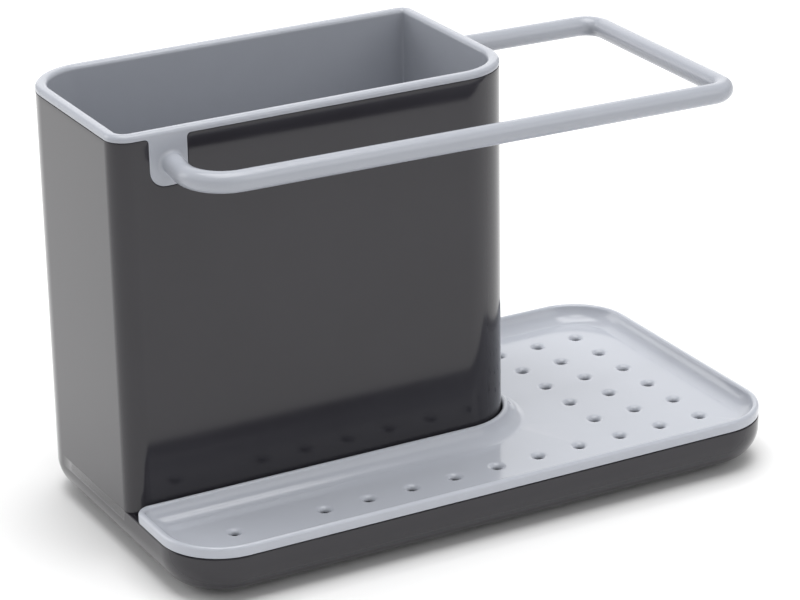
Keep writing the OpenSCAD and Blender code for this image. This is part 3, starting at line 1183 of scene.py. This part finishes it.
@dataclass
class Studio:
    """The camera, the white floor with a painted shade round the object, and the soft lamps.

    Each lamp has its name, its place, its size and its power in watts.
    """

    azimuth: float = -28.38
    elevation: float = 21.99
    roll: float = -0.99
    distance: float = 959.73
    target: Triple = (-2.93, 0.0, 58.17)
    focal_px: float = 3118.78
    width_px: float = 800.0
    sensor: float = 36.0
    clip_m: tuple[float, float] = (0.01, 50.0)
    world: float = 0.5
    floor_half_m: float = 4.0
    floor_color: float = 0.9
    floor_glow: float = 0.22
    floor_shine: float = 0.25
    # Half the footprint, and the distances beyond it over which the glow for the camera and for
    # the gloss rises from nothing to full: a painted shade near the object
    half_size: tuple[float, float] = (102.5, 56.0)
    glow_painted_shade_reach: tuple[float, float] = (0.0, 150.0)
    shine_painted_shade_reach: tuple[float, float] = (-12.0, 16.0)
    lamp_aim: Triple = (0.0, 0.0, 50.0)
    lamps: tuple[tuple[str, Triple, float, float], ...] = (
        ("overhead", (30.0, 0.0, 1500.0), 1200.0, 20.0),
        ("left_side", (-1100.0, 1000.0, 600.0), 900.0, 6.4),
        ("behind", (600.0, 1400.0, 620.0), 1500.0, 6.5),
        ("front_right", (900.0, -1400.0, 900.0), 900.0, 3.5),
    )

    def camera(self) -> None:
        """Sets the camera from its angles: it looks along minus the back direction."""
        az, el, roll = (math.radians(v) for v in (self.azimuth, self.elevation, self.roll))
        flat = math.cos(el)
        back = np.array([math.sin(az) * flat, -math.cos(az) * flat, math.sin(el)])
        right = np.array([math.cos(az), math.sin(az), 0.0])
        up = np.cross(back, right)
        across = math.cos(roll) * right + math.sin(roll) * up
        above = -math.sin(roll) * right + math.cos(roll) * up
        place = (np.array(self.target) + back * self.distance) * MM
        data = bpy.data.cameras.new("view")
        data.sensor_width = self.sensor
        data.lens = self.focal_px / self.width_px * self.sensor
        data.clip_start, data.clip_end = self.clip_m
        camera = link("view", data)
        camera.matrix_world = stand(across, above, back, place)
        bpy.context.scene.camera = camera

    def _beside(self, tree: Tree) -> Socket:
        """How far a point of the floor lies beyond the object's footprint.

        It is the larger of the amounts by which the point's X and Y, without
        their signs, pass half of the footprint's length and depth.
        """
        where = tree.add("ShaderNodeTexCoord")["Object"]
        axes = tree.add("ShaderNodeSeparateXYZ", {0: where})
        past = [
            tree.math("SUBTRACT", tree.math("ABSOLUTE", axes[i]), half * MM)
            for i, half in enumerate(self.half_size)
        ]
        return tree.math("MAXIMUM", *past)

    def floor(self) -> None:
        """A wide plain floor.

        What the camera and the gloss see of its own glow fades out towards the
        object. This is a painted shade round its footprint, on the floor and in what the
        gloss reflects of it, and it adds to the shadow that the lamps cast.
        """
        half = self.floor_half_m
        places = [(-half, -half, 0), (half, -half, 0), (half, half, 0), (-half, half, 0)]
        mesh = bpy.data.meshes.new("floor")
        mesh.from_pydata(places, [], [(0, 1, 2, 3)])
        link("floor", mesh)
        material = bpy.data.materials.new("floor_white_painted_shade")
        material.use_nodes = True
        material.node_tree.nodes.clear()
        tree = Tree(material.node_tree)
        path = tree.add("ShaderNodeLightPath")
        beside = self._beside(tree)
        # Each glow fades out near the object, which paints shade on the floor and in its
        # reflections
        fades = (("Is Camera Ray", self.glow_painted_shade_reach, self.floor_glow),
                 ("Is Glossy Ray", self.shine_painted_shade_reach, self.floor_shine))
        glows = []
        for ray, reach, most in fades:
            fade = tree.ramp(beside, [v * MM for v in reach], (0.0, most), "SMOOTHSTEP")
            glows.append(tree.math("MULTIPLY", path[ray], fade))
        glow = tree.add("ShaderNodeEmission", {"Strength": tree.math("ADD", *glows)})
        color = (self.floor_color,) * 3 + (1,)
        diffuse = tree.add("ShaderNodeBsdfDiffuse", {"Color": color})
        both = tree.add("ShaderNodeAddShader", {0: diffuse[0], 1: glow[0]})
        tree.add("ShaderNodeOutputMaterial", {0: both[0]})
        mesh.materials.append(material)

    def light(self) -> None:
        """Soft square lamps that face the object, and an even pale world."""
        for name, place, size, watts in self.lamps:
            data = bpy.data.lights.new(name, "AREA")
            data.shape, data.size, data.energy = "SQUARE", size * MM, watts
            at = np.array(place) * MM
            back = at - np.array(self.lamp_aim) * MM
            back /= np.linalg.norm(back)
            side = [0.0, 1.0, 0.0] if abs(back[2]) > UPRIGHT else [0.0, 0.0, 1.0]
            right = np.cross(side, back)
            right /= np.linalg.norm(right)
            link(name, data).matrix_world = stand(right, np.cross(back, right), back, at)
        world = bpy.data.worlds.new("studio")
        bpy.context.scene.world = world
        world.use_nodes = True
        white = {"Color": (1, 1, 1, 1), "Strength": self.world}
        Tree(world.node_tree).put(world.node_tree.nodes["Background"], white)
        bpy.context.scene.view_settings.view_transform = "Standard"


FINISHES = {
    Slot.DARK: Plastic("dark_gloss", (0.022, 0.0205, 0.0255), 0.12, specular=0.42,
                       grain_mm=5.0, grain_height=0.006, tone=0.25, wear=0.0),
    Slot.INSERT: Plastic("pale_satin", (0.375, 0.392, 0.435), 0.24, grain_mm=1.2,
                         grain_height=0.004, tone=0.04, wear=0.12, seam_mm=(30.9, -15.5, 121.7)),
    Slot.TRAY: Plastic("pale_gloss", (0.45, 0.47, 0.52), 0.12, grain_mm=2.5,
                       grain_height=0.005, tone=0.04, wear=0.15),
    Slot.RUBBER: Plastic("foot_rubber", (0.03, 0.03, 0.03), 0.6, specular=0.3,
                         grain_mm=0.5, grain_height=0.02, tone=0.2, wear=0.05),
}


def main() -> None:
    """Builds the pieces in order, dresses them and sets the stage."""
    logging.basicConfig(level=logging.INFO, format="%(name)s: %(message)s")
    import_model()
    studio = Studio()
    studio.camera()
    sizes = Sizes()
    groups = Groups()
    finishes = {slot: finish.make(groups) for slot, finish in FINISHES.items()}
    pieces = [kind(sizes).build() for kind in (DarkBody, Liner, Rail, Tray)]
    pieces += Feet(sizes).build()
    for piece in pieces:
        piece.data.materials.append(finishes[Slot(piece["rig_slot"])])
    studio.floor()
    studio.light()
    log.info("dressed %d pieces", len(pieces))


if __name__ == "__main__":
    main()
